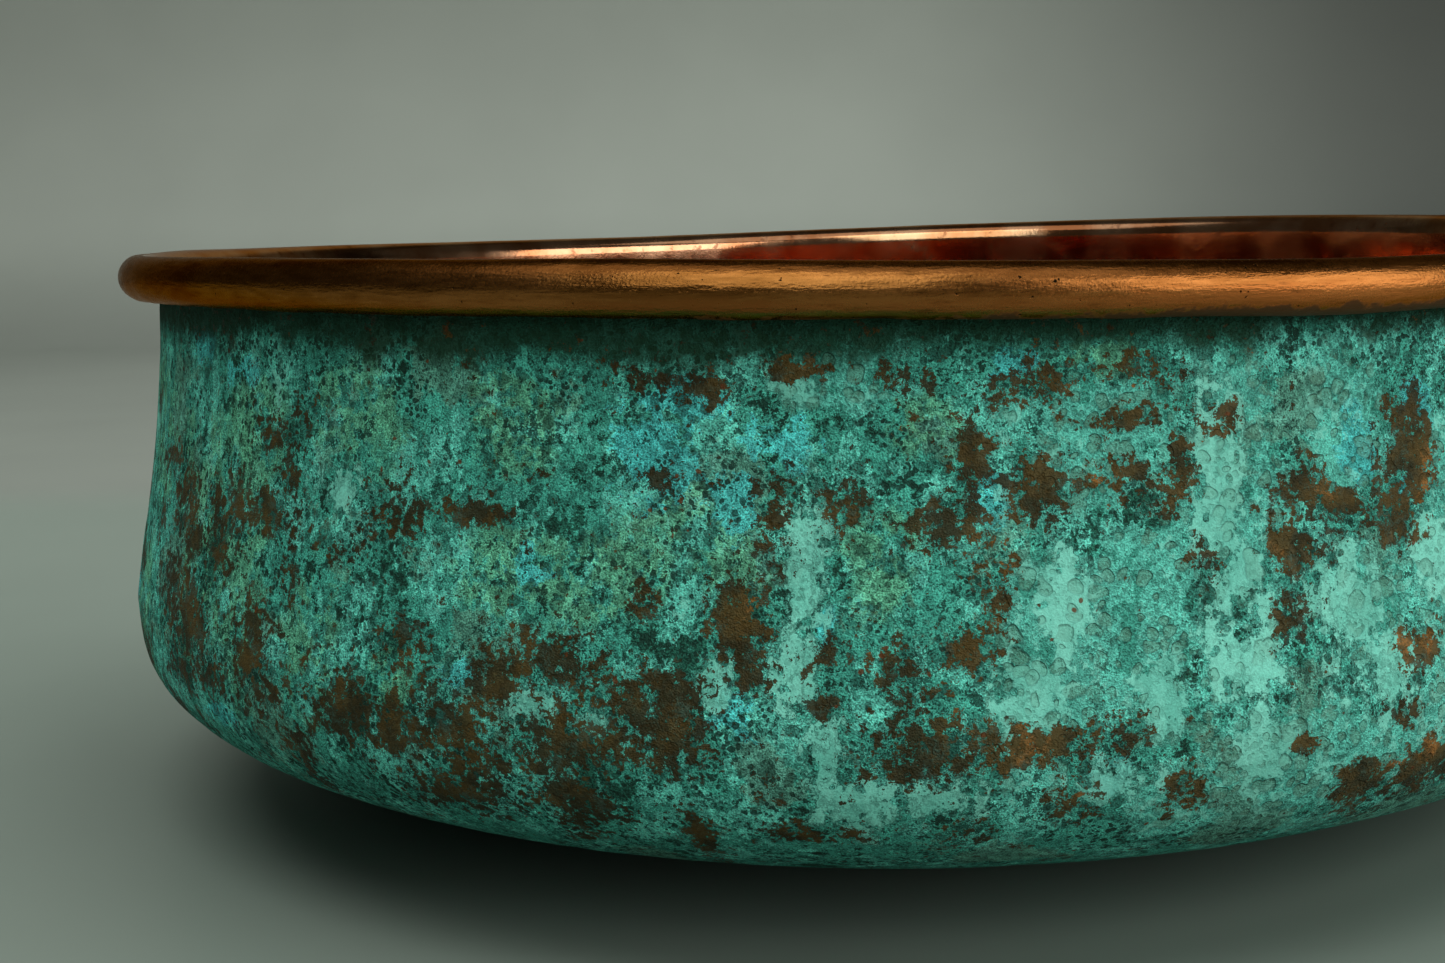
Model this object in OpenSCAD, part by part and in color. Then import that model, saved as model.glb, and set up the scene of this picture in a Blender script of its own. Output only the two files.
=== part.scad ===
// Hammered copper bowl with a wired rim.
//
// One sheet of copper is raised into a deep bowl: a flat base, a low rounded
// underside, a full belly, and a wall that draws in towards the rim. The edge of
// the sheet is rolled outwards round a rod, which stiffens it.
// Millimetres, +Z up along the axis, origin at the centre of the base.

/* [Bowl] */
// Outer diameter over the rolled rim
rim_d = 400; // [360:5:440]
// Height from the foot of the base to the top of the rim
bowl_h = 134; // [124:1:150]
// How far the belly stands out past the neck, on each side
belly_swell = 10.3; // [4:0.1:20]
// Height of the belly, the widest part, above the base
belly_z = 50; // [40:1:60]
// Diameter of the flat base
base_d = 180; // [140:5:220]

/* [Sheet and rim] */
// Thickness of the copper sheet
sheet_t = 1.2; // [0.8:0.1:2]
// Diameter of the rod inside the rolled rim
rod_d = 8; // [6:0.5:10]
// Gap between the rod and the sheet rolled round it
rod_gap = 0.05; // [0.02:0.01:0.2]
// How far round the rod the sheet is rolled, in degrees
roll_turn = 300; // [270:10:300]

/* [Hidden] */

$fn = 180;

// The roll: the rod and its gap give the inside, and the sheet goes round that.
roll_inner_r = rod_d / 2 + rod_gap;
roll_outer_r = roll_inner_r + sheet_t;
roll_r = rim_d / 2 - roll_outer_r;
roll_z = bowl_h - roll_outer_r;

// Radii of the outer face of the sheet.
base_r = base_d / 2;
neck_r = roll_r - roll_inner_r;
belly_r = neck_r + belly_swell;

// Underside: a superellipse from the edge of the base to the belly. The first
// power draws the floor flat, and the second keeps the belly full.
floor_power = 1.5;
belly_power = 3;
underside_steps = 16;
function underside(turn) = [
    base_r + (belly_r - base_r) * pow(sin(turn), 2 / floor_power),
    belly_z * (1 - pow(cos(turn), 2 / belly_power))
];

// Wall: leaves the belly in a soft corner and straightens towards the neck.
corner_power = 1.2;
wall_steps = 14;
function wall(share) = [
    neck_r + belly_swell * pow(1 - pow(share, corner_power), 2),
    belly_z + (roll_z - belly_z) * share
];

// Roll: clockwise round the rod, from the neck over the top.
roll_step = 10;
function roll(turn) = [
    roll_r - roll_inner_r * cos(turn),
    roll_z + roll_inner_r * sin(turn)
];

// The outer face of the whole sheet, from the axis to the edge inside the roll.
outer_face = concat(
    [[0, 0]],
    [for (i = [0:underside_steps]) underside(90 * i / underside_steps)],
    [for (i = [1:wall_steps]) wall(i / wall_steps)],
    [for (turn = [roll_step:roll_step:roll_turn]) roll(turn)]
);

// The inner face lies one thickness to the left of the outer face.
last = len(outer_face) - 1;
function along(i) = outer_face[min(i + 1, last)] - outer_face[max(i - 1, 0)];
function left_of(v) = [-v[1], v[0]] / norm(v);
inner_face = [for (i = [0:last]) outer_face[i] + sheet_t * left_of(along(i))];

module bowl_shell() {
    color([0.34, 0.55, 0.50])
        rotate_extrude()
            polygon(concat(outer_face, [for (i = [last:-1:0]) inner_face[i]]));
}

module rim_rod() {
    color([0.72, 0.45, 0.30])
        rotate_extrude()
            translate([roll_r, roll_z])
                circle(d = rod_d);
}

bowl_shell();
rim_rod();
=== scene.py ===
"""Looks of the hammered copper bowl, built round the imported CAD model.

The one raised sheet is made here as five closed skins that meet edge to edge: the
outer and inner faces of the wall, the outer and inner faces of the base, and the
rolled rim. The rod in the roll is made anew too, so that it follows the rim's wave.
Lengths are millimetres until a mesh is made, which is in metres.
"""

import itertools
import math
from types import SimpleNamespace

import bpy
import numpy as np
from mathutils import Matrix, Vector


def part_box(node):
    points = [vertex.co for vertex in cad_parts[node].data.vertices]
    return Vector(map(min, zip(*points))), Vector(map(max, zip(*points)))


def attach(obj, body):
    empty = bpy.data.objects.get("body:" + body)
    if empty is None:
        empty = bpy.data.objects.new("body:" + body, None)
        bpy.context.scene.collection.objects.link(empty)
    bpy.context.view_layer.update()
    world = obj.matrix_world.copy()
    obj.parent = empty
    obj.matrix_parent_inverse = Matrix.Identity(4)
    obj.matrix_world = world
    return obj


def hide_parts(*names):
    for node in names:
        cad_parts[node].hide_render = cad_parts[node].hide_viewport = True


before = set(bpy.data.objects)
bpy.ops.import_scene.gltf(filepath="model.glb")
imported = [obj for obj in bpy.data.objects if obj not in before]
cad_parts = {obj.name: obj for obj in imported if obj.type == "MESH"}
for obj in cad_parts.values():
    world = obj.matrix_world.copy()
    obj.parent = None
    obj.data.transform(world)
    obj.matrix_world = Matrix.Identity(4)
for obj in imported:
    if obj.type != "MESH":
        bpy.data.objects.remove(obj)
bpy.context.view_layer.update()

MM = 0.001
FRONT = -math.pi / 2    # the side of the bowl that faces the camera

# Sizes read from the frame.
SHELL_HIGH = np.array(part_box("bowl_shell")[1]) / MM
ROD_LOW, ROD_HIGH = (np.array(corner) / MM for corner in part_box("rim_rod"))
BOWL_H = SHELL_HIGH[2]
BELLY_R = SHELL_HIGH[0]
ROD_R = (ROD_HIGH[2] - ROD_LOW[2]) / 2
ROLL_R = ROD_HIGH[0] - ROD_R
ROLL_Z = (ROD_HIGH[2] + ROD_LOW[2]) / 2

# Sizes that repeat the CAD's own.
SHEET = 1.2
BASE_R = 90
BELLY_Z = 50
FLOOR_POWER = 1.5
BELLY_POWER = 3
CORNER_POWER = 1.2

ROLL_OUTER = BOWL_H - ROLL_Z
ROLL_INNER = ROLL_OUTER - SHEET
NECK_R = ROLL_R - ROLL_INNER

# How the skins are cut and how fine they are.
SKIN = 0.5              # thickness of each skin, under half of the sheet
COLUMNS = 960           # points round the widest rings
LINE_STEP = 0.4         # how far apart the points of the section's lines are
SEAM_Z = 24             # height of the seam between the wall skins and the base skins
INNER_LIP = 97          # where on the roll the inner skin gives way to the rim, in degrees
ROLL_END = -122         # where the roll's edge stops, just short of the wall


# ---------------------------------------------------------------- the section

class Face:
    """One face of the sheet as a line of points, with its length and normals."""

    def __init__(self, points, flip=False):
        self.at = np.asarray(points, float)
        self.s = np.r_[0, np.cumsum(np.hypot(*np.diff(self.at, axis=0).T))]
        along = np.gradient(self.at, self.s, axis=0)
        along /= np.linalg.norm(along, axis=1)[:, None]
        side = -1 if flip else 1
        self.normal = side * np.c_[along[:, 1], -along[:, 0]]

    def sample(self, s):
        """Points and unit normals at the lengths s."""
        at = np.stack([np.interp(s, self.s, self.at[:, k]) for k in (0, 1)], -1)
        n = np.stack([np.interp(s, self.s, self.normal[:, k]) for k in (0, 1)], -1)
        return at, n / np.linalg.norm(n, axis=-1, keepdims=True)

    def length_at(self, height, radius_over=0):
        """How far along the face first reaches a height, outside a radius."""
        far = (self.at[:, 1] >= height) & (self.at[:, 0] > radius_over)
        return float(self.s[np.argmax(far)])


def sheet_line(steps=600):
    """The outer face from the axis, over the underside and up the wall to the neck."""
    turn = np.linspace(0, math.pi / 2, steps)
    floor = np.linspace(0, BASE_R, steps // 2, endpoint=False)
    underside = np.c_[
        BASE_R + (BELLY_R - BASE_R) * np.sin(turn) ** (2 / FLOOR_POWER),
        BELLY_Z * (1 - np.cos(turn) ** (2 / BELLY_POWER)),
    ]
    share = np.linspace(0, 1, steps)[1:]
    wall = np.c_[
        NECK_R + (BELLY_R - NECK_R) * (1 - share ** CORNER_POWER) ** 2,
        BELLY_Z + (ROLL_Z - BELLY_Z) * share,
    ]
    return np.vstack([np.c_[floor, floor * 0], underside, wall])


def arc(radius, start, end, steps):
    """Points round the rod from one angle to another, in degrees, 0 outwards, 90 up."""
    turn = np.radians(np.linspace(start, end, steps))
    return np.c_[ROLL_R + radius * np.cos(turn), ROLL_Z + radius * np.sin(turn)]


def even(points, step):
    """The same line with points a step apart."""
    s = np.r_[0, np.cumsum(np.hypot(*np.diff(points, axis=0).T))]
    want = np.linspace(0, s[-1], int(round(s[-1] / step)) + 1)
    return np.stack([np.interp(want, s, points[:, k]) for k in (0, 1)], -1)


OUTER = Face(even(sheet_line(), LINE_STEP))
inner_line = np.vstack([OUTER.at - SHEET * OUTER.normal, arc(ROLL_OUTER, 180, INNER_LIP, 20)[1:]])
INNER = Face(even(inner_line, LINE_STEP), flip=True)
ROLL = Face(arc(ROLL_OUTER, INNER_LIP, ROLL_END, 400), flip=True)


# ------------------------------------------------------------------- relief

NOISE_VALUES = 4096
CELL_PRIMES = (73856093, 19349663, 83492791)    # they scatter the cells over the noise values


def value_noise(at, size, seed):
    """Smooth noise from -1 to 1 at the points, with features about size across."""
    table = np.random.default_rng(seed).uniform(-1, 1, NOISE_VALUES)
    cell = np.floor(at / size).astype(np.int64)
    f = at / size - cell
    f = f * f * (3 - 2 * f)
    total = np.zeros(at.shape[:-1])
    for corner in itertools.product((0, 1), repeat=3):
        x, y, z = ((cell[..., k] + corner[k]) * CELL_PRIMES[k] for k in range(3))
        value = table[(x ^ y ^ z) % NOISE_VALUES]
        share = np.ones_like(value)
        for k in range(3):
            share *= f[..., k] if corner[k] else 1 - f[..., k]
        total += value * share
    return total


def rough_noise(at, size, seed, octaves=3):
    """Several sizes of noise together, each half the size and half the strength."""
    layers = [value_noise(at, size / 2 ** k, seed + k) / 2 ** k for k in range(octaves)]
    return sum(layers) / 1.5


def step_up(value, low, high):
    """0 below low, 1 above high, and a smooth rise between."""
    t = np.clip((value - low) / (high - low), 0, 1)
    return t * t * (3 - 2 * t)


BLOW_SHIFT = 0.32       # how far a blow may land off its place, as a share of its width
BLOW_STAGGER = 0.37     # how far each row of blows is turned on from the one below
BLOW_SHARPNESS = 11     # how clear the ridges between blows are


def blows(face, angle, s, width, seed):
    """Distance from the nearest hammer blow, as a share of its width, softly joined."""
    rng = np.random.default_rng(seed)
    rows = int(face.s[-1] / width) + 3
    most = int(2 * math.pi * BELLY_R / width) + 3
    shift = rng.uniform(-BLOW_SHIFT, BLOW_SHIFT, (rows, most, 2))
    row = np.floor(s / width).astype(int)
    radius = np.interp(s, face.s, face.at[:, 0])
    total = np.zeros(np.broadcast(angle, s).shape)
    for near in (-1, 0, 1):
        line = np.clip(row + near, 0, rows - 1)
        line_s = (line + 0.5) * width
        line_r = np.interp(line_s, face.s, face.at[:, 0])
        count = np.maximum(6, np.round(2 * math.pi * line_r / width)).astype(int)
        turn = (angle % (2 * math.pi)) / (2 * math.pi) * count + BLOW_STAGGER * line
        for beside in (-1, 0, 1):
            k = np.floor(turn).astype(int) + beside
            off = shift[line, k % np.minimum(count, most)]
            across = (turn - k - 0.5 - off[..., 0]) * 2 * math.pi / count * radius
            up = s - line_s - off[..., 1] * width
            total += np.exp(-BLOW_SHARPNESS * (across ** 2 + up ** 2) / width ** 2)
    return np.sqrt(np.maximum(0, -np.log(np.maximum(total, 1e-9)) / BLOW_SHARPNESS))


# The rim stands a little uneven: height of its wave by harmonic, cosine and sine.
RIM_WAVE = {1: (-0.6, -0.3), 2: (0.4, 1.6), 3: (0.15, 0.15), 4: (0.05, -0.25)}


def settle(angle, at):
    """How far hand raising leaves the sheet off true: outwards and upwards."""
    rise = sum(c * np.cos(n * angle) + k * np.sin(n * angle) for n, (c, k) in RIM_WAVE.items())
    high = np.clip(at[..., 1] / BOWL_H, 0, 1) ** 2
    spot = np.stack([200 * np.cos(angle), 200 * np.sin(angle), at[..., 1]], -1)
    ripple = 0.22 * value_noise(spot, 45, 11) * high
    bulge = 0.5 * value_noise(spot, 90, 12) + 0.25 * value_noise(spot, 38, 13)
    wide = step_up(at[..., 0], 60, 150)
    return bulge * wide, rise * high + ripple


def outer_relief(angle, s, at, spot):
    """Soft planishing marks under the patina, and the crust of the patina itself."""
    free = step_up(-at[..., 1], -(ROLL_Z - 1), -(ROLL_Z - 6))
    mark = 0.16 * (blows(OUTER, angle, s, 17, 21) ** 2 - 0.25)
    crust = 0.10 * rough_noise(spot, 7, 22) + 0.05 * value_noise(spot, 2.6, 25)
    stands = step_up(at[..., 1], 0, 1.2)
    return (mark + crust) * free * (0.35 + 0.65 * stands)


def inner_relief(angle, s, at, spot):
    """Clear hammer facets in bright metal, fading out where the sheet is rolled."""
    free = step_up(-at[..., 1], -(ROLL_Z + 1), -(ROLL_Z - 9))
    dent = 0.42 * (blows(INNER, angle, s, 13, 31) ** 2 - 0.2)
    return (dent + 0.04 * value_noise(spot, 22, 32)) * free


def roll_relief(angle, s, at, spot):
    """The roll was closed with a hammer, so its thickness wanders."""
    end = ROLL.s[-1]
    fade = step_up(s, 0, 2.5)
    body = 0.24 * value_noise(spot, 26, 41) + 0.09 * value_noise(spot, 9, 42)
    edge = 0.22 * value_noise(spot * [1, 1, 0.3], 7, 43) * step_up(s, end - 7, end - 2)
    return (body + edge) * fade


def surface(face, relief, angle, s):
    """The finished surface, as points in millimetres."""
    at, normal = face.sample(s)
    spot = np.stack([at[..., 0] * np.cos(angle), at[..., 0] * np.sin(angle), at[..., 1]], -1)
    out, up = settle(angle, at)
    depth = relief(angle, s, at, spot)
    r = at[..., 0] + out + depth * normal[..., 0]
    z = at[..., 1] + up + depth * normal[..., 1]
    return np.stack([r * np.cos(angle), r * np.sin(angle), z], -1)


def surface_normal(face, relief, angle, s, reach=0.7):
    """The finished surface's normals, from the slope between points close by."""
    turn = reach / np.maximum(face.sample(s)[0][..., 0], 4)
    low, high = np.clip(s - reach, 0, face.s[-1]), np.clip(s + reach, 0, face.s[-1])
    round_it = surface(face, relief, angle + turn, s) - surface(face, relief, angle - turn, s)
    along_it = surface(face, relief, angle, high) - surface(face, relief, angle, low)
    n = np.cross(round_it, along_it)
    n /= np.maximum(np.linalg.norm(n, axis=-1, keepdims=True), 1e-12)
    at, normal = face.sample(s)
    rough = np.stack([normal[..., 0] * np.cos(angle), normal[..., 0] * np.sin(angle), normal[..., 1]], -1)
    return n * np.sign(np.sum(n * rough, -1, keepdims=True))


# ------------------------------------------------------------ patina layout

# Where the patina has its large features on the front of the wall: degrees round
# from the front, height, half width and half height, the last three in millimetres.
BARE_PATCHES = [
    (-57, 90, 9, 3), (-54, 76, 7, 3), (-54, 61, 5, 3), (-50.5, 55, 9, 7), (-47.5, 46, 9, 4),
    (-47, 73, 7, 5), (-45.5, 83, 5, 7), (-42, 60, 6, 5), (-42, 50, 8, 7), (-41, 83, 6, 4),
    (-39, 92, 2.5, 4), (-38, 102, 3, 6), (-38, 67, 3, 3), (-38, 30, 4, 7), (-34, 77, 4, 2),
    (-32, 46, 7, 6), (-29.5, 84, 7, 5), (-28, 45, 8, 4), (-28, 62, 6, 4), (-24, 87, 12, 2),
    (-25, 47, 8, 6), (-25, 32, 10, 4), (-22, 58, 7, 6), (-23, 39, 7, 5), (-18, 61, 8, 5),
    (-17, 45, 11, 7), (-17, 35, 7, 8), (-12.5, 95, 3, 2), (-13, 71, 4, 3), (-11.5, 54, 7, 9),
    (-10.5, 26, 2, 8), (-8, 70, 5, 6), (-7, 60, 3, 4), (-5.5, 93, 4, 3), (-6, 87, 2, 5), (-4, 29, 9, 2),
    (-3, 55, 3, 2), (-3, 63, 3, 3), (-2, 91, 4, 4), (1, 61, 5, 4), (2, 47, 10, 6), (3, 86, 6, 4),
    (4, 30, 5, 5), (5, 64, 6, 4), (5, 98, 3, 4), (6, 72, 4, 8), (8, 46, 9, 4), (8.5, 93, 5, 7),
    (9, 34, 5, 4), (12.5, 48, 4, 4), (13.5, 93, 5, 5), (13, 104, 8, 3), (15, 88, 3, 4), (16.5, 96, 4, 5),
    (16, 36, 5, 5), (17.5, 78, 3, 3), (18.5, 104, 5, 4), (22, 66, 4, 5), (22.5, 79, 6, 4), (22.5, 43, 5, 2),
    (24, 90, 4, 4), (26, 86, 7, 3), (27.5, 32, 7, 5), (29, 47, 5, 3), (30, 83, 9, 6), (30.5, 58, 5, 6),
    (31, 99, 6, 10), (32, 35, 7, 5), (36, 62, 5, 7), (38, 88, 6, 6),
    (-13, 112, 5, 2), (-9, 111, 6, 2.5), (-4.5, 114, 5, 3), (1, 113, 6, 2), (9, 112, 8, 3),
    (14, 113, 6, 2.5),
]
MINT_RUNS = [
    (-34, 90, 7, 4), (-19, 52, 6, 4), (-16, 50, 6, 3), (-9, 58, 4, 5), (-5, 111, 6, 3), (-4.2, 79, 5, 15),
    (-4.5, 62, 5, 9), (-3, 46, 5, 8), (-1.5, 35, 9, 6), (3, 36, 8, 5), (8, 56, 8, 9), (9.5, 69, 6, 11),
    (14.5, 55, 5, 8), (18.5, 98, 6, 10), (18.5, 84, 5, 6), (19.5, 60, 8, 11), (20, 74, 5, 7),
    (20, 44, 7, 10), (25.5, 68, 9, 12), (28, 53, 8, 8), (33, 75, 5, 7), (38, 60, 9, 14), (12, 40, 9, 5),
]
BLUE_AREAS = [
    (-47, 37, 8, 3), (-46, 112, 8, 4), (-24, 58, 5, 6), (-20, 77, 5, 4), (-13, 101, 10, 8),
    (-11, 110, 14, 4), (-8, 90, 5, 6), (-8, 53, 6, 6), (-5, 102, 9, 7), (-3.3, 69, 2.5, 6),
    (6, 91, 4, 6), (7, 115, 6, 4), (27.5, 96, 5, 9), (31, 88, 5, 3), (32, 104, 6, 5), (12, 42, 6, 5),
]
GRAINY_AREAS = [
    (-50, 70, 10, 24), (-44, 100, 14, 14), (-36, 60, 10, 14), (-33, 106, 16, 10), (-21, 106, 12, 10),
    (-54, 90, 5, 14), (-22, 77, 10, 8), (-17, 77, 18, 10), (-9, 86, 8, 7), (2, 104, 8, 6),
    (12, 115, 10, 4), (-29, 54, 6, 6), (-8, 80, 8, 8), (0, 80, 7, 10),
]
BUBBLY_AREAS = [
    (-3, 112, 14, 7), (8, 62, 12, 30), (12, 100, 16, 18), (14, 68, 12, 34), (20, 90, 10, 26),
    (22, 38, 34, 14), (27, 102, 12, 18), (28, 70, 8, 16), (34, 60, 14, 40),
]
WORN_AREAS = [
    (-50, 62, 26, 34), (-30, 46, 60, 16), (-14, 48, 40, 18), (-6, 72, 14, 22), (8, 46, 50, 14),
    (8, 92, 30, 14), (-40, 84, 20, 16), (24, 88, 40, 20), (30, 34, 50, 12), (-20, 32, 60, 10),
    (6, 108, 44, 6), (-14, 114, 44, 4),
]
SIDES = 4               # the same run of features, shuffled, covers each side in turn
SIDE_TURN = 95


def all_round(spots, seed):
    """The front's features, then shuffled copies of them for the other sides."""
    rng = np.random.default_rng(seed)
    placed = list(spots)
    for side in range(1, SIDES):
        for turn, height, wide, tall in spots:
            flip = -1 if side % 2 else 1
            turn = flip * (turn + 12) - 12 + side * SIDE_TURN + rng.uniform(-7, 7)
            size = rng.uniform(0.8, 1.2)
            height = min(116, max(16, height + rng.uniform(-12, 12)))
            placed.append((turn, height, wide * size, tall * size))
    return placed


def cover(spots, angle, at):
    """How deep each point lies in the nearest feature: 1 in its middle, 0 at its edge."""
    best = np.full(at.shape[:-1], -1.0)
    degrees = np.degrees(angle - FRONT)
    for turn, height, wide, tall in spots:
        across = (degrees - turn + 180) % 360 - 180
        across = np.radians(across) * np.maximum(at[..., 0], 60)
        up = at[..., 1] - height
        best = np.maximum(best, 1 - np.hypot(across / wide, up / tall))
    return best


LAYOUT = {
    "bare": (BARE_PATCHES, 51),
    "mint": (MINT_RUNS, 52),
    "blue": (BLUE_AREAS, 53),
    "grainy": (GRAINY_AREAS, 54),
    "bubbly": (BUBBLY_AREAS, 55),
    "worn": (WORN_AREAS, 56),
}


def paint_layout(piece):
    """Stores the layout on the mesh, one value per point, for the patina material."""
    count = len(piece.data.vertices)
    spot = np.empty(count * 3)
    piece.data.vertices.foreach_get("co", spot)
    spot = spot.reshape(-1, 3) / MM
    angle = np.arctan2(spot[:, 1], spot[:, 0])
    at = np.stack([np.hypot(spot[:, 0], spot[:, 1]), spot[:, 2]], -1)
    for name, (spots, seed) in LAYOUT.items():
        layer = piece.data.attributes.new(name, "FLOAT", "POINT")
        layer.data.foreach_set("value", cover(all_round(spots, seed), angle, at))


# ---------------------------------------------------------------- materials

NOISE_GAIN = 5          # spreads Blender's noise until most of it lies between -1 and 1


class Looks:
    """One material's nodes. Positions inside it are in millimetres."""

    def __init__(self, name):
        self.material = bpy.data.materials.new(name)
        self.material.use_nodes = True
        self.tree = self.material.node_tree
        self.shader = self.tree.nodes["Principled BSDF"]
        coords = self.tree.nodes.new("ShaderNodeTexCoord")
        self.place = self.mapped(coords.outputs["Object"], (1 / MM,) * 3)

    def link(self, value, socket):
        """Joins a socket, or sets a number or a colour."""
        if isinstance(value, bpy.types.NodeSocket):
            self.tree.links.new(value, socket)
        elif socket.type == "RGBA":
            socket.default_value = (*value, 1)
        else:
            socket.default_value = value

    def mapped(self, vector, scale, shift=(0, 0, 0)):
        node = self.tree.nodes.new("ShaderNodeMapping")
        node.inputs["Scale"].default_value = scale
        node.inputs["Location"].default_value = shift
        self.link(vector, node.inputs["Vector"])
        return node.outputs[0]

    def noise(self, size, seed, detail=2.0, rough=0.5, stretch=(1, 1, 1)):
        """Noise about nought, mostly within 1, with features about size millimetres across."""
        node = self.tree.nodes.new("ShaderNodeTexNoise")
        node.inputs["Scale"].default_value = 1
        node.inputs["Detail"].default_value = detail
        node.inputs["Roughness"].default_value = rough
        scale = tuple(1 / (size * k) for k in stretch)
        shift = (seed * 7.3, seed * 3.1, seed * 5.7)
        self.link(self.mapped(self.place, scale, shift), node.inputs["Vector"])
        return self.math("MULTIPLY_ADD", node.outputs[0], NOISE_GAIN, -NOISE_GAIN / 2)

    def math(self, kind, a, b=0.0, c=0.0):
        node = self.tree.nodes.new("ShaderNodeMath")
        node.operation = kind
        for value, socket in zip((a, b, c), node.inputs):
            self.link(value, socket)
        return node.outputs[0]

    def add(self, a, b):
        return self.math("ADD", a, b)

    def times(self, a, b):
        return self.math("MULTIPLY", a, b)

    def most(self, a, b):
        return self.math("MAXIMUM", a, b)

    def less(self, a, b):
        return self.math("SUBTRACT", a, b)

    def weigh(self, *pairs):
        """The sum of the sockets, each times its weight."""
        total = 0.0
        for value, weight in pairs:
            total = self.math("MULTIPLY_ADD", value, weight, total)
        return total

    def step(self, value, low, high, to_low=0.0, to_high=1.0):
        """to_low where the value is below low, to_high above high, smooth between."""
        node = self.tree.nodes.new("ShaderNodeMapRange")
        node.interpolation_type = "SMOOTHSTEP"
        limits = {"From Min": low, "From Max": high, "To Min": to_low, "To Max": to_high}
        for name, number in limits.items():
            node.inputs[name].default_value = number
        self.link(value, node.inputs["Value"])
        return node.outputs[0]

    def shade(self, color, factor):
        """The colour made lighter or darker by a factor."""
        node = self.tree.nodes.new("ShaderNodeVectorMath")
        node.operation = "SCALE"
        self.link(color, node.inputs[0])
        self.link(factor, node.inputs["Scale"])
        return node.outputs[0]

    def bent_cells(self, size, seed):
        """Voronoi cells about size across, with a gentle wobble so that none is regular."""
        wobble = self.tree.nodes.new("ShaderNodeTexNoise")
        wobble.inputs["Scale"].default_value = 1
        wobble.inputs["Detail"].default_value = 1
        self.link(self.mapped(self.place, (0.8 / size,) * 3), wobble.inputs["Vector"])
        bent = self.tree.nodes.new("ShaderNodeVectorMath")
        bent.operation = "MULTIPLY_ADD"
        self.link(wobble.outputs["Color"], bent.inputs[0])
        bent.inputs[1].default_value = (0.9 * size,) * 3
        self.link(self.place, bent.inputs[2])
        node = self.tree.nodes.new("ShaderNodeTexVoronoi")
        node.inputs["Scale"].default_value = 1
        shift = (seed * 1.7, seed * 4.9, seed * 2.3)
        self.link(self.mapped(bent.outputs[0], (1 / size,) * 3, shift), node.inputs["Vector"])
        return node

    def discs(self, size, seed, least, most):
        """Distance from scattered round spots: 1 at each spot's edge. Radii are parts of size."""
        node = self.bent_cells(size, seed)
        radius = self.math("MULTIPLY_ADD", node.outputs["Color"], most - least, least)
        return self.math("DIVIDE", node.outputs["Distance"], radius)

    def scale_tone(self, size, seed):
        """A number from 0 to 1 for each cell, the same all over the cell."""
        return self.bent_cells(size, seed).outputs["Color"]

    def mix(self, share, a, b):
        """Colour a, with colour b laid over it as thickly as share says."""
        node = self.tree.nodes.new("ShaderNodeMix")
        node.data_type = "RGBA"
        self.link(share, node.inputs["Factor"])
        for name, color in (("A", a), ("B", b)):
            self.link(color, next(i for i in node.inputs if i.name == name and i.type == "RGBA"))
        return next(o for o in node.outputs if o.type == "RGBA")

    def layout(self, name):
        """A value that paint_layout stored on the mesh."""
        node = self.tree.nodes.new("ShaderNodeAttribute")
        node.attribute_name = name
        return node.outputs["Fac"]

    def height_of_point(self):
        node = self.tree.nodes.new("ShaderNodeSeparateXYZ")
        self.link(self.place, node.inputs[0])
        return node.outputs["Z"]

    def bump(self, height, depth):
        """Relief from a 0 to 1 height, depth millimetres deep."""
        node = self.tree.nodes.new("ShaderNodeBump")
        node.inputs["Strength"].default_value = 1
        node.inputs["Distance"].default_value = depth * MM
        self.link(height, node.inputs["Height"])
        return node.outputs[0]

    def finish(self, **sockets):
        """Joins the shader's inputs, such as base_color, and gives back the material."""
        for name, value in sockets.items():
            self.link(value, self.shader.inputs[name.replace("_", " ").title()])
        return self.material


# The patina, and the brown copper under it.
DEEP_TEAL = (0.0189, 0.121, 0.0837)
TEAL = (0.0607, 0.378, 0.29)
PALE_TEAL = (0.128, 0.594, 0.479)
MINT = (0.25, 0.729, 0.594)
SOFT_MINT = (0.165, 0.58, 0.465)
BLUE = (0.085, 0.62, 0.60)
YELLOW_GREEN = (0.142, 0.472, 0.277)
GREY_GREEN = (0.135, 0.311, 0.223)
VEIL = (0.052, 0.100, 0.075)
PIT_BLACK = (0.0081, 0.0297, 0.0203)
# Partly dark patina, partly painted shade: the wall just under the roll.
UNDER_RIM_PATINA_AND_SHADE = (0.0081, 0.0378, 0.0162)
OLD_BROWN = (0.0365, 0.0245, 0.0060)
WARM_BROWN = (0.098, 0.0560, 0.0110)
ORANGE = (0.365, 0.149, 0.0297)
RUST = (0.14, 0.045, 0.012)

# The inside, the rim and the rod.
DARK_COPPER = (0.52, 0.20, 0.08)
BRIGHT_COPPER = (0.74, 0.42, 0.24)
COPPER_STAIN = (0.16, 0.04, 0.012)
COPPER_EDGE = (0.75, 0.50, 0.35, 1)
DARK_BRONZE = (0.23, 0.082, 0.018)
BRIGHT_BRONZE = (0.38, 0.143, 0.036)
# Painted reflection: a warmer, lighter bronze for the lower half of the roll.
PAINTED_REFLECTION_BRONZE = (0.50, 0.150, 0.036)
BRONZE_STREAK = (0.08, 0.032, 0.009)
BRONZE_PIT = (0.006, 0.005, 0.003)
BRONZE_DIRT = (0.034, 0.022, 0.010)
BRONZE_EDGE = (0.55, 0.36, 0.22, 1)
DARK_ROD = (0.36, 0.17, 0.08)
BRIGHT_ROD = (0.55, 0.30, 0.17)


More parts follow.
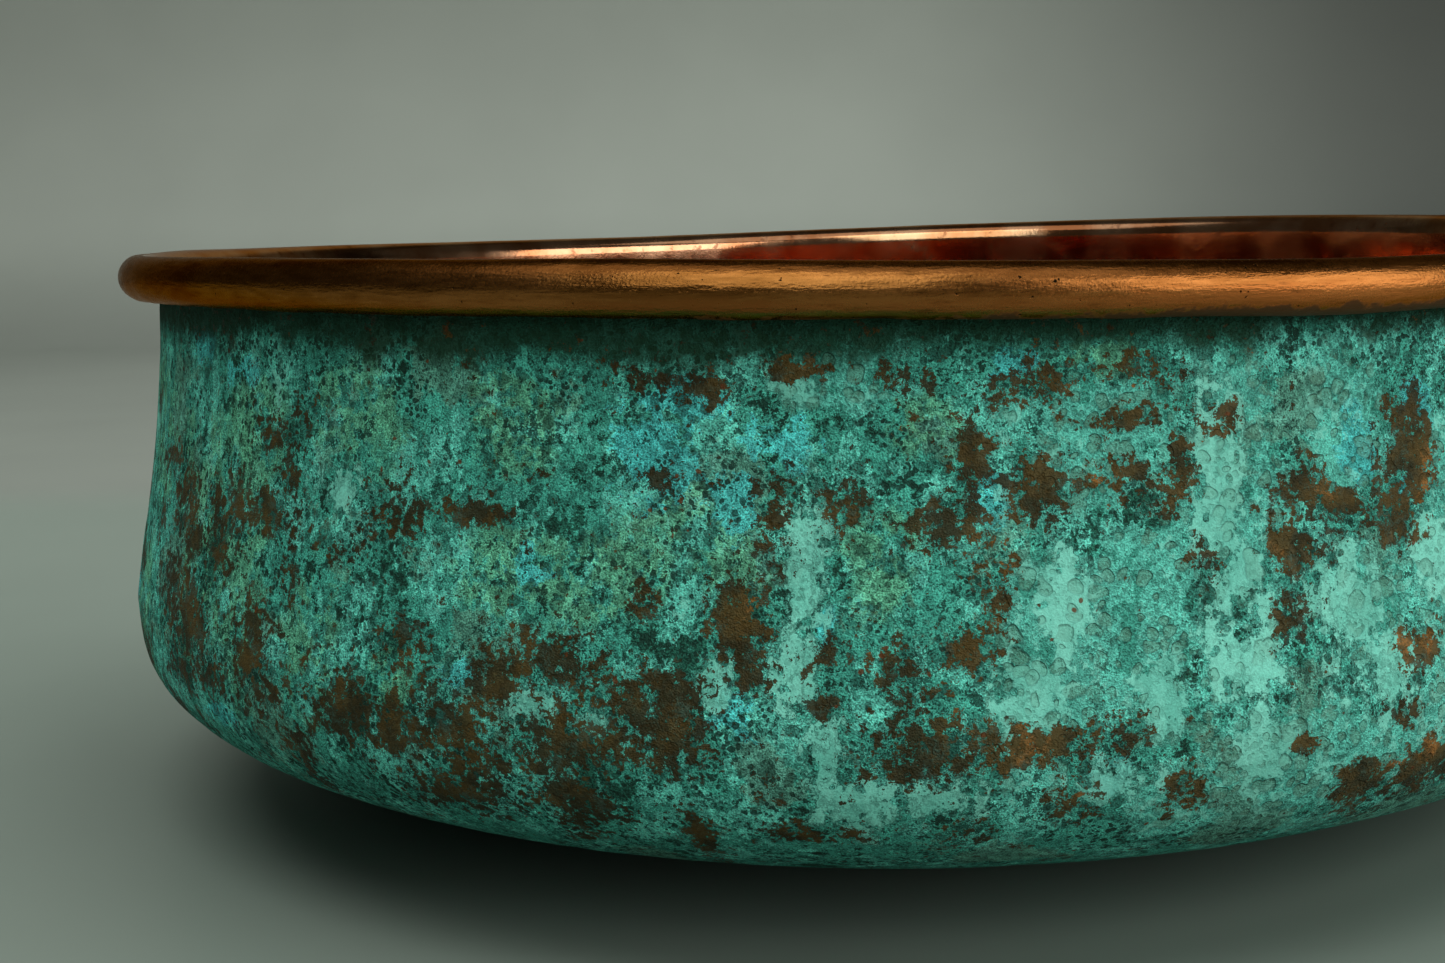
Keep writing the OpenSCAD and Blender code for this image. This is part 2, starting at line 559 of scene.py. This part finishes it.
def patina_fields(g):
    """The noises and masks that the layers of the patina share."""
    f = SimpleNamespace()
    f.broad = g.noise(48, 1, detail=2)
    f.middle = g.noise(15, 2, detail=3, rough=0.6)
    f.ragged = g.noise(9, 3, detail=6, rough=0.75)
    f.small = g.noise(2.2, 4, detail=4, rough=0.7)
    f.grain = g.noise(0.38, 5, detail=1, rough=0.6)
    f.runs = g.noise(6, 6, detail=5, rough=0.7, stretch=(1, 1, 4.5))
    f.bubbly = g.step(g.weigh((g.layout("bubbly"), 1), (f.middle, 0.4), (f.ragged, 0.4)), -0.2, 0.4)
    f.calm = g.step(f.bubbly, 0, 1, 1, 0.45)
    f.pale_crust = g.weigh(
        (f.runs, 0.50), (f.middle, 0.30), (g.noise(11, 17, detail=6, rough=0.75), 0.65),
        (f.small, 0.25), (f.bubbly, 0.40),
    )
    f.holes = g.step(g.discs(3.2, 40, 0.10, 0.60), 0.92, 1.04, 1, 0)
    mint_lay = g.layout("mint")
    lace = g.times(f.holes, g.step(mint_lay, 0.25, 0.6, 1, 0.15))
    f.mint_field = g.weigh(
        (mint_lay, 0.75), (f.runs, 0.45), (f.ragged, 0.60), (f.small, 0.30), (f.bubbly, 0.08),
        (lace, -0.5),
    )
    mint = g.weigh((g.step(f.mint_field, -0.35, 0.05), 0.30), (g.step(f.mint_field, 0.06, 0.11), 0.70))
    stray = g.step(g.weigh((f.pale_crust, 1), (f.small, 0.5), (lace, -0.4)), 0.70, 0.85)
    f.mint = g.most(mint, g.times(stray, 0.7))
    f.smooth = g.step(f.mint, 0, 0.9, 1, 0.25)
    return f


def crust(g, f):
    """A deep ground, a middling crust over most of it and a paler crust over some of that."""
    tone = g.weigh(
        (f.broad, 0.30), (f.middle, 0.35), (f.runs, 0.30), (f.ragged, 0.60), (f.small, 0.40),
        (f.bubbly, 0.35),
    )
    color = g.mix(g.step(tone, -0.62, -0.45), DEEP_TEAL, TEAL)
    color = g.mix(g.times(g.step(f.pale_crust, 0.04, 0.10), 0.85), color, PALE_TEAL)
    grey = g.step(g.weigh((g.noise(26, 8, detail=3), 1), (f.ragged, 0.7), (f.small, 0.2)), 0.40, 0.60)
    color = g.mix(g.times(grey, 0.6), color, GREY_GREEN)
    grainy = g.step(g.weigh((g.layout("grainy"), 1), (f.middle, 0.4), (f.ragged, 0.35)), -0.3, 0.3)
    yellow = g.step(g.weigh((g.noise(8, 9, detail=5, rough=0.7), 1), (f.small, 0.4)), -0.25, 0.10)
    color = g.mix(g.times(g.times(grainy, yellow), 0.75), color, YELLOW_GREEN)
    blue = g.weigh((g.layout("blue"), 0.9), (f.middle, 0.4), (f.ragged, 0.8), (f.small, 0.45))
    return g.mix(g.times(g.step(blue, 0.12, 0.22), 0.85), color, BLUE)


def add_scales(g, f, color):
    """Small scales of crust, each a little lighter or darker than the next."""
    f.scales = g.weigh((g.scale_tone(1.7, 61), 0.70), (g.scale_tone(4.6, 62), 0.45))
    darkest = g.less(1.0, g.times(f.calm, 0.63))
    return g.shade(color, g.math("MULTIPLY_ADD", f.scales, g.times(f.calm, 1.1), darkest))


def add_mint_runs(g, f, color):
    """Smooth pale runs where the solution dried thick, laced with round holes at their edges."""
    tone = g.weigh((f.runs, 0.6), (f.middle, 0.5), (f.small, 0.2))
    return g.mix(g.times(f.mint, 0.85), color, g.mix(g.step(tone, -0.5, 0.6), SOFT_MINT, MINT))


def add_pits(g, f, color):
    """Fine grain, round pits and dark outlines, fewest in the smooth runs."""
    grainy = g.times(f.smooth, g.step(f.calm, 0, 1, 0.45, 1))
    fine = g.times(g.weigh((f.grain, 0.58), (f.small, 0.25)), grainy)
    color = g.shade(color, g.most(g.math("MINIMUM", g.add(fine, 0.99), 1.5), 0.2))
    pitted = g.step(g.weigh((g.noise(16, 10, detail=5, rough=0.65), 1), (f.small, 0.2)), -0.35, 0.30)
    pits = g.step(g.discs(1.2, 18, 0.0, 0.72), 0.85, 1.0, 1, 0)
    some = g.step(g.weigh((g.noise(20, 19, detail=3), 1), (f.ragged, 0.5)), -0.05, 0.25)
    broken = g.weigh((f.ragged, 0.7), (f.small, 0.65), (f.grain, 0.18), (pitted, 0.30))
    broken = g.step(broken, -0.46, -0.38, 1, 0)
    dark = g.most(g.times(g.times(pits, 0.9), pitted), g.times(broken, g.times(f.calm, 0.75)))
    dark = g.times(g.most(dark, g.times(g.times(f.holes, some), 0.6)), g.times(f.smooth, f.calm))
    crust_edge = g.times(g.step(f.pale_crust, -0.12, 0.0), g.step(f.pale_crust, 0.01, 0.08, 1, 0))
    mint_edge = g.times(g.step(f.mint_field, -0.08, 0.0), g.step(f.mint_field, 0.02, 0.07, 1, 0))
    edges = g.most(g.times(mint_edge, 0.55), g.times(crust_edge, 0.35))
    f.dark = g.most(dark, g.times(edges, f.calm))
    return g.mix(f.dark, color, PIT_BLACK)


def add_bubbles(g, f, color):
    """Round scars where bubbles dried, and froth between them."""
    bubble = g.discs(3.3, 11, 0.05, 0.75)
    on_crust = g.times(f.bubbly, g.step(f.mint, 0, 1, 1, 0.55))
    f.ring = g.times(g.times(g.step(bubble, 0.72, 0.88), g.step(bubble, 0.96, 1.06, 1, 0)), on_crust)
    f.disc = g.times(g.step(bubble, 0.84, 0.98, 1, 0), on_crust)
    frothy = g.step(g.weigh((g.noise(14, 13, detail=3), 1), (f.runs, 0.4)), -0.3, 0.2)
    little = g.step(g.discs(1.25, 12, 0.20, 0.70), 0.70, 1.0, 1, 0)
    f.froth = g.times(little, g.times(on_crust, frothy))
    color = g.mix(g.times(f.froth, 0.38), color, DEEP_TEAL)
    color = g.mix(g.times(f.disc, 0.50), color, GREY_GREEN)
    return g.mix(g.times(f.ring, 0.32), color, PIT_BLACK)


def add_under_rim_patina_and_shade(g, f, color):
    """Dark green patina gathered under the rim, made darker still as painted shade where the roll shades
    the wall.
    """
    # Partly patina, partly painted shade: the top of the wall under the roll is painted near black-green.
    under = g.weigh(
        (g.height_of_point(), 1), (f.broad, 2.5), (f.middle, 2.0), (f.ragged, 2.5), (f.small, 1.5),
    )
    return g.mix(g.times(g.step(under, 114.5, 120.5), 0.92), color, UNDER_RIM_PATINA_AND_SHADE)


def add_bare_copper(g, f, color):
    """Worn-through copper, dark at its edges and veiled with thin patina, and specks of rust."""
    wear = g.weigh(
        (f.middle, 0.25), (f.ragged, 0.90), (f.small, g.times(f.calm, 1.3)),
        (f.grain, g.times(f.calm, 0.35)),
    )
    worn = g.step(g.layout("worn"), -0.2, 0.8)
    bare = g.weigh((g.layout("bare"), 0.75), (worn, 0.34), (wear, 1), (f.mint, -0.20), (f.holes, 0.15))
    f.bare = g.step(bare, 0.29, 0.33)
    warm = g.weigh(
        (g.noise(11, 14, detail=5, rough=0.65), 1), (f.small, -0.15), (f.grain, 0.10), (f.bubbly, 0.35),
    )
    brown = g.mix(g.step(warm, -0.4, 0.6), OLD_BROWN, WARM_BROWN)
    brown = g.mix(g.step(warm, 0.7, 1.3), brown, ORANGE)
    veil = g.step(g.weigh((g.noise(6, 16, detail=5, rough=0.7), 1), (f.grain, 0.3)), 0.2, 0.8)
    brown = g.mix(g.times(veil, 0.6), brown, VEIL)
    edge = g.times(g.step(bare, 0.13, 0.27), g.step(bare, 0.29, 0.33, 1, 0))
    color = g.mix(g.times(edge, g.times(f.calm, 0.6)), color, PIT_BLACK)
    color = g.mix(g.times(f.bare, 0.97), color, brown)
    specks = g.step(g.discs(4.5, 15, 0.0, 0.16), 0.8, 1.1, 1, 0)
    specks = g.times(specks, g.step(g.weigh((f.middle, 1), (f.broad, 0.5)), 0.25, 0.35))
    return g.mix(g.times(specks, 0.9), color, RUST)


def verdigris():
    """Streaked blue-green patina over hammered copper, worn through in patches."""
    g = Looks("verdigris")
    f = patina_fields(g)
    color = crust(g, f)
    for layer in (add_scales, add_mint_runs, add_pits, add_bubbles, add_under_rim_patina_and_shade, add_bare_copper):
        color = layer(g, f, color)
    grit = g.times(g.weigh((f.small, 0.16), (f.grain, 0.16), (f.ragged, 0.12)), f.smooth)
    relief = g.weigh(
        (grit, 1), (f.mint, 0.10), (f.bare, -0.25), (f.disc, -0.60), (f.ring, 0.15), (f.dark, -0.45),
        (f.froth, -0.40), (f.scales, 0.12),
    )
    g.shader.inputs["Specular IOR Level"].default_value = 0.2
    return g.finish(
        base_color=color,
        roughness=g.less(0.88, g.times(f.bare, 0.30)),
        metallic=g.times(f.bare, 0.20),
        normal=g.bump(relief, 0.65),
    )


def inside_copper():
    """Polished copper, darkened by age, with faint stains between the facets."""
    g = Looks("inside_copper")
    stain = g.noise(24, 21, detail=4, rough=0.6)
    spots = g.noise(4, 22, detail=3, rough=0.6)
    fine = g.noise(0.9, 23, detail=2)
    speckled = g.step(spots, -1.0, -0.4, 1, 0)
    color = g.mix(g.step(stain, -0.7, 0.8), DARK_COPPER, BRIGHT_COPPER)
    color = g.mix(g.times(speckled, 0.5), color, COPPER_STAIN)
    rough = g.weigh((g.step(stain, -1.0, 1.0), 0.08), (speckled, 0.10))
    g.shader.inputs["Metallic"].default_value = 1.0
    g.shader.inputs["Specular Tint"].default_value = COPPER_EDGE
    normal = g.bump(g.weigh((fine, 0.2), (spots, 0.2)), 0.02)
    return g.finish(base_color=color, roughness=g.add(0.11, rough), normal=normal)


def rim_bronze():
    """Rubbed brown bronze, finely streaked, its lower half painted warmer and lighter as a painted
    reflection, dark in its pits and underneath.
    """
    g = Looks("rim_bronze")
    height = g.height_of_point()
    broad = g.noise(30, 31, detail=3)
    streaks = g.noise(0.9, 32, detail=3, rough=0.6, stretch=(7, 7, 1))
    pebble = g.noise(0.7, 33, detail=2, rough=0.7)
    sand = g.noise(0.35, 36, detail=1, stretch=(1.8, 1.8, 1))
    creep = g.noise(5, 35, detail=4, rough=0.65)
    tone = g.weigh((broad, 0.7), (streaks, 0.60), (pebble, 0.1))
    color = g.mix(g.step(tone, -0.7, 0.7), DARK_BRONZE, BRIGHT_BRONZE)
    # Painted reflection: the lower half of the roll is painted warmer and lighter, in place of warm light
    # reflected from below.
    worn = g.step(g.weigh((height, 1), (broad, 0.6), (streaks, 0.8)), 124.5, 129.0, 1, 0)
    color = g.mix(g.times(worn, 0.65), color, PAINTED_REFLECTION_BRONZE)
    color = g.mix(g.times(g.step(streaks, -1.2, -0.5, 1, 0), 0.45), color, BRONZE_STREAK)
    pits = g.step(g.noise(1.5, 34, detail=2), -1.30, -1.10, 1, 0)
    color = g.mix(pits, color, BRONZE_PIT)
    below = g.step(g.weigh((height, 1), (broad, 0.5), (creep, 1.3)), 123.2, 124.3, 1, 0)
    color = g.mix(g.times(below, 0.85), color, BRONZE_DIRT)
    rough = g.weigh((pebble, 0.03), (broad, 0.03), (g.most(pits, below), 0.3))
    relief = g.weigh((pebble, 0.035), (sand, 0.055), (streaks, 0.20), (pits, -0.5))
    g.shader.inputs["Specular IOR Level"].default_value = 0.15
    g.shader.inputs["Specular Tint"].default_value = BRONZE_EDGE
    return g.finish(
        base_color=color,
        metallic=g.math("MULTIPLY_ADD", below, -0.9, 1.0),
        roughness=g.add(0.27, rough),
        normal=g.bump(relief, 0.15),
    )


def rod_metal():
    """Plain drawn rod, hidden in the roll."""
    g = Looks("rod_metal")
    drawn = g.noise(0.6, 41, detail=2, stretch=(12, 12, 1))
    color = g.mix(g.step(drawn, -1, 1), DARK_ROD, BRIGHT_ROD)
    rough = g.math("MULTIPLY_ADD", drawn, 0.05, 0.42)
    g.shader.inputs["Metallic"].default_value = 1.0
    return g.finish(base_color=color, roughness=rough, normal=g.bump(drawn, 0.01))


# -------------------------------------------------------------------- meshes

def bridge(low, high, n_low, n_high):
    """Faces between two rings of vertices; the second may have half the columns."""
    if n_low == n_high:
        return [(low + i, low + (i + 1) % n_low, high + (i + 1) % n_low, high + i) for i in range(n_low)]
    if n_low > n_high:
        faces = []
        for i in range(n_high):
            a, b, c = low + 2 * i, low + 2 * i + 1, low + (2 * i + 2) % n_low
            d, e = high + i, high + (i + 1) % n_high
            faces += [(a, b, d), (b, e, d), (b, c, e)]
        return faces
    return [tuple(reversed(f)) for f in bridge(high, low, n_high, n_low)]


def columns_at(radius):
    """Fewer columns towards the axis, halved each time the ring has halved."""
    count = COLUMNS
    while count > 30 and radius < 0.49 * BELLY_R * count / COLUMNS:
        count //= 2
    return count


def skin(name, face, relief, start, end, step, back):
    """A closed skin: the finished surface in front, a plain copy of it just behind.

    The copy has its rings at the lengths in back, which run from end to start.
    """
    rows = int(round((end - start) / step)) + 1
    s_rows = np.linspace(start, end, rows)
    rings, normals = [], []
    for s in s_rows:
        angle, s_ring = ring_angles(face, s)
        rings.append(surface(face, relief, angle, s_ring))
        normals.append(surface_normal(face, relief, angle, s_ring))
    for s in back:
        angle, s_ring = ring_angles(face, s)
        behind = surface(face, lambda *_: -SKIN, angle, s_ring)
        rings.append(behind)
        normals.append(-surface_normal(face, lambda *_: -SKIN, angle, s_ring))
    return rings_to_mesh(name, rings, normals, open_axis=start > 0)


def ring_angles(face, s):
    radius = float(face.sample(np.array(s))[0][0])
    count = 1 if radius < 1e-6 else columns_at(radius)
    angle = np.arange(count) * 2 * math.pi / count + FRONT
    return angle, np.full(count, s)


def rings_to_mesh(name, rings, normals, open_axis):
    starts = np.r_[0, np.cumsum([len(r) for r in rings])][:-1]
    faces = []
    pairs = list(zip(range(len(rings) - 1), range(1, len(rings))))
    if open_axis:
        pairs.append((len(rings) - 1, 0))
    for j, k in pairs:
        n_j, n_k = len(rings[j]), len(rings[k])
        if n_j == 1:
            faces += [(starts[j], starts[k] + (i + 1) % n_k, starts[k] + i) for i in range(n_k)]
        elif n_k == 1:
            faces += [(starts[j] + i, starts[j] + (i + 1) % n_j, starts[k]) for i in range(n_j)]
        else:
            faces += bridge(int(starts[j]), int(starts[k]), n_j, n_k)
    mesh = bpy.data.meshes.new(name)
    mesh.from_pydata((np.concatenate(rings) * MM).tolist(), [], faces)
    mesh.update()
    normals = np.concatenate(normals)
    middle = mesh.polygons[len(mesh.polygons) // 4]
    if Vector(normals[middle.vertices[0]]).dot(middle.normal) < 0:
        mesh.flip_normals()
    mesh.shade_smooth()
    mesh.normals_split_custom_set_from_vertices(normals.tolist())
    piece = bpy.data.objects.new(name, mesh)
    bpy.context.collection.objects.link(piece)
    return piece


def rod_ring(name, sides=20, columns=COLUMNS // 2):
    """The rod inside the roll, as uneven as the roll is."""
    angle = np.arange(columns) * 2 * math.pi / columns + FRONT
    middle = np.tile([ROLL_R, ROLL_Z], (columns, 1))
    out, up = settle(angle, middle)
    rings, normals = [], []
    for turn in np.arange(sides) * 2 * math.pi / sides:
        r = ROLL_R + ROD_R * math.cos(turn) + out
        z = ROLL_Z + ROD_R * math.sin(turn) + up
        rings.append(np.stack([r * np.cos(angle), r * np.sin(angle), z], -1))
        flat = math.cos(turn)
        normals.append(np.stack([flat * np.cos(angle), flat * np.sin(angle), 0 * z + math.sin(turn)], -1))
    return rings_to_mesh(name, rings, normals, open_axis=True)


# ------------------------------------------------------------ camera and stage

def make_camera():
    """A camera half a metre from the bowl, just above its rim, turned a little left and down."""
    eye = Vector((0, -545.7, BOWL_H + 12.1)) * MM
    yaw, pitch, roll = -0.0818, 0.1439, 0.0263
    ahead = Vector((math.sin(yaw) * math.cos(pitch), math.cos(yaw) * math.cos(pitch), -math.sin(pitch)))
    right = Vector((math.cos(yaw), -math.sin(yaw), 0))
    down = ahead.cross(right)
    right_r = math.cos(roll) * right + math.sin(roll) * down
    down_r = math.cos(roll) * down - math.sin(roll) * right
    data = bpy.data.cameras.new("camera")
    data.lens = 49
    data.clip_start = 0.01
    camera = bpy.data.objects.new("camera", data)
    axes = Matrix((right_r, -down_r, -ahead)).transposed()
    camera.matrix_world = Matrix.Translation(eye) @ axes.to_4x4()
    bpy.context.collection.objects.link(camera)
    bpy.context.scene.camera = camera


def area_light(name, place, target, size, power, color, glossy=True, lights_only=None):
    """A soft light at a place, facing a target, in metres; lights_only limits what it lights."""
    data = bpy.data.lights.new(name, "AREA")
    data.shape = "RECTANGLE"
    data.size, data.size_y = size
    data.energy = power
    data.color = color
    light = bpy.data.objects.new(name, data)
    light.location = place
    light.rotation_euler = (Vector(target) - Vector(place)).to_track_quat("-Z", "Y").to_euler()
    light.visible_camera = False
    light.visible_glossy = glossy
    light.light_linking.receiver_collection = lights_only
    bpy.context.collection.objects.link(light)


FLOOR_DEPTH = 430       # how far behind the bowl's middle the floor's paint ends, in millimetres
FLOOR_COLOR = (0.25, 0.30, 0.26)
WALL_COLOR = (0.42, 0.455, 0.405)


def backdrop_with_painted_shade():
    """A faintly glossy pale floor, then a matte backdrop whose colour holds painted shade: darker to both
    sides, towards the top and where it lies flat.
    """
    g = Looks("backdrop")
    node = g.tree.nodes.new("ShaderNodeSeparateXYZ")
    g.link(g.place, node.inputs[0])
    across, away, up = node.outputs
    # Painted shade: the backdrop is darker to the left, much darker to the right, a little darker towards
    # the top, and darker where it lies flat.
    left = g.step(across, -1300, -200, 0.90, 1.0)
    right = g.step(across, -100, 700, 1.0, 0.28)
    top = g.step(up, 150, 500, 1.0, 0.92)
    far = g.step(away, FLOOR_DEPTH - 60, FLOOR_DEPTH + 60)
    flat = g.step(up, 0, 140, 0.62, 1.0)
    wall = g.shade(WALL_COLOR, g.times(g.times(left, right), g.times(top, flat)))
    color = g.mix(far, FLOOR_COLOR, wall)
    color = g.shade(color, g.math("MULTIPLY_ADD", g.noise(160, 61, detail=3), 0.03, 1.0))
    g.shader.inputs["IOR"].default_value = 1.65
    return g.finish(base_color=color, roughness=g.math("MULTIPLY_ADD", far, 0.45, 0.42))


def make_stage():
    """A pale floor that curves up into a backdrop, well behind the bowl."""
    bend, back, wide, near, top = 0.4, 1.5, 7.0, -8.0, 2.5
    line = [(near, 0.0), (back, 0.0)]
    for turn in np.linspace(0.05, math.pi / 2, 16):
        line.append((back + bend * math.sin(turn), bend * (1 - math.cos(turn))))
    line += [(back + bend, top)]
    verts = [(x, y, z) for y, z in line for x in (-wide, wide)]
    faces = [(2 * i, 2 * i + 1, 2 * i + 3, 2 * i + 2) for i in range(len(line) - 1)]
    mesh = bpy.data.meshes.new("backdrop")
    mesh.from_pydata(verts, [], faces)
    mesh.shade_smooth()
    stage = bpy.data.objects.new("backdrop", mesh)
    stage.data.materials.append(backdrop_with_painted_shade())
    bpy.context.collection.objects.link(stage)


def make_lights(bowl):
    """A key from the right, a cool one from the left, and two from above."""
    area_light("key", (1.20, -0.90, 0.66), (0, 0, 0.08), (1.4, 1.2), 13.8, (1.0, 0.98, 0.95))
    area_light("front_left", (-0.30, -1.18, 1.08), (0, 0, 0.10), (0.9, 1.5), 8.6, (0.88, 1.0, 0.94),
               lights_only=bowl)
    area_light("above", (-0.1, -0.45, 1.6), (0, 0, 0.10), (2.0, 1.2), 4.5, (1.0, 0.97, 0.92),
               lights_only=bowl)
    area_light("overhead", (0.0, 0.35, 2.0), (0, 0, 0), (4.0, 2.0), 60, (0.97, 1.0, 0.97), glossy=False)
    world = bpy.data.worlds.new("world")
    world.use_nodes = True
    background = world.node_tree.nodes["Background"]
    background.inputs["Color"].default_value = (0.5, 0.56, 0.52, 1)
    background.inputs["Strength"].default_value = 0.06
    bpy.context.scene.world = world


# ------------------------------------------------------------------ the bowl

def make_skins():
    """The sheet's five skins: where each starts and ends, its step, and its back's rings."""
    outer_seam = OUTER.length_at(SEAM_Z, BASE_R)
    inner_seam = INNER.length_at(SEAM_Z, BASE_R)
    outer_top = OUTER.s[-1] - 0.5
    inner_top = INNER.s[-1]
    roll_foot = INNER.length_at(ROLL_Z, BASE_R)
    roll_end = ROLL.s[-1]
    lip_back = np.linspace(inner_top, roll_foot, 9)
    inner_back = np.r_[lip_back, np.linspace(roll_foot, inner_seam, 5)[1:]]
    skins = {
        "outer_wall": (OUTER, outer_relief, outer_seam, outer_top, 1.35,
                       np.linspace(outer_top, outer_seam, 5)),
        "outer_base": (OUTER, outer_relief, 0, outer_seam, 2.0, np.linspace(outer_seam, 0, 28)),
        "inner_wall": (INNER, inner_relief, inner_seam, inner_top, 1.6, inner_back),
        "inner_floor": (INNER, inner_relief, 0, inner_seam, 2.0, np.linspace(inner_seam, 0, 28)),
        "rolled_rim": (ROLL, roll_relief, 0.001, roll_end, 0.4, np.linspace(roll_end, 0.001, 20)),
    }
    return {name: skin(name, *shape) for name, shape in skins.items()}


def dress(piece, material, node):
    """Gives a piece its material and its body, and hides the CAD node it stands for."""
    piece.data.materials.append(material)
    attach(piece, "root")
    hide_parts(node)


make_camera()
make_stage()
skins = make_skins()
rod = rod_ring("rod_in_roll")
patina = verdigris()
copper = inside_copper()
dress(skins["outer_wall"], patina, "bowl_shell")
dress(skins["outer_base"], patina, "bowl_shell")
dress(skins["inner_wall"], copper, "bowl_shell")
dress(skins["inner_floor"], copper, "bowl_shell")
dress(skins["rolled_rim"], rim_bronze(), "bowl_shell")
dress(rod, rod_metal(), "rim_rod")
for name in ("outer_wall", "outer_base"):
    paint_layout(skins[name])
bowl = bpy.data.collections.new("bowl")
for piece in (*skins.values(), rod):
    bowl.objects.link(piece)
make_lights(bowl)
bpy.context.scene.view_settings.view_transform = "Standard"
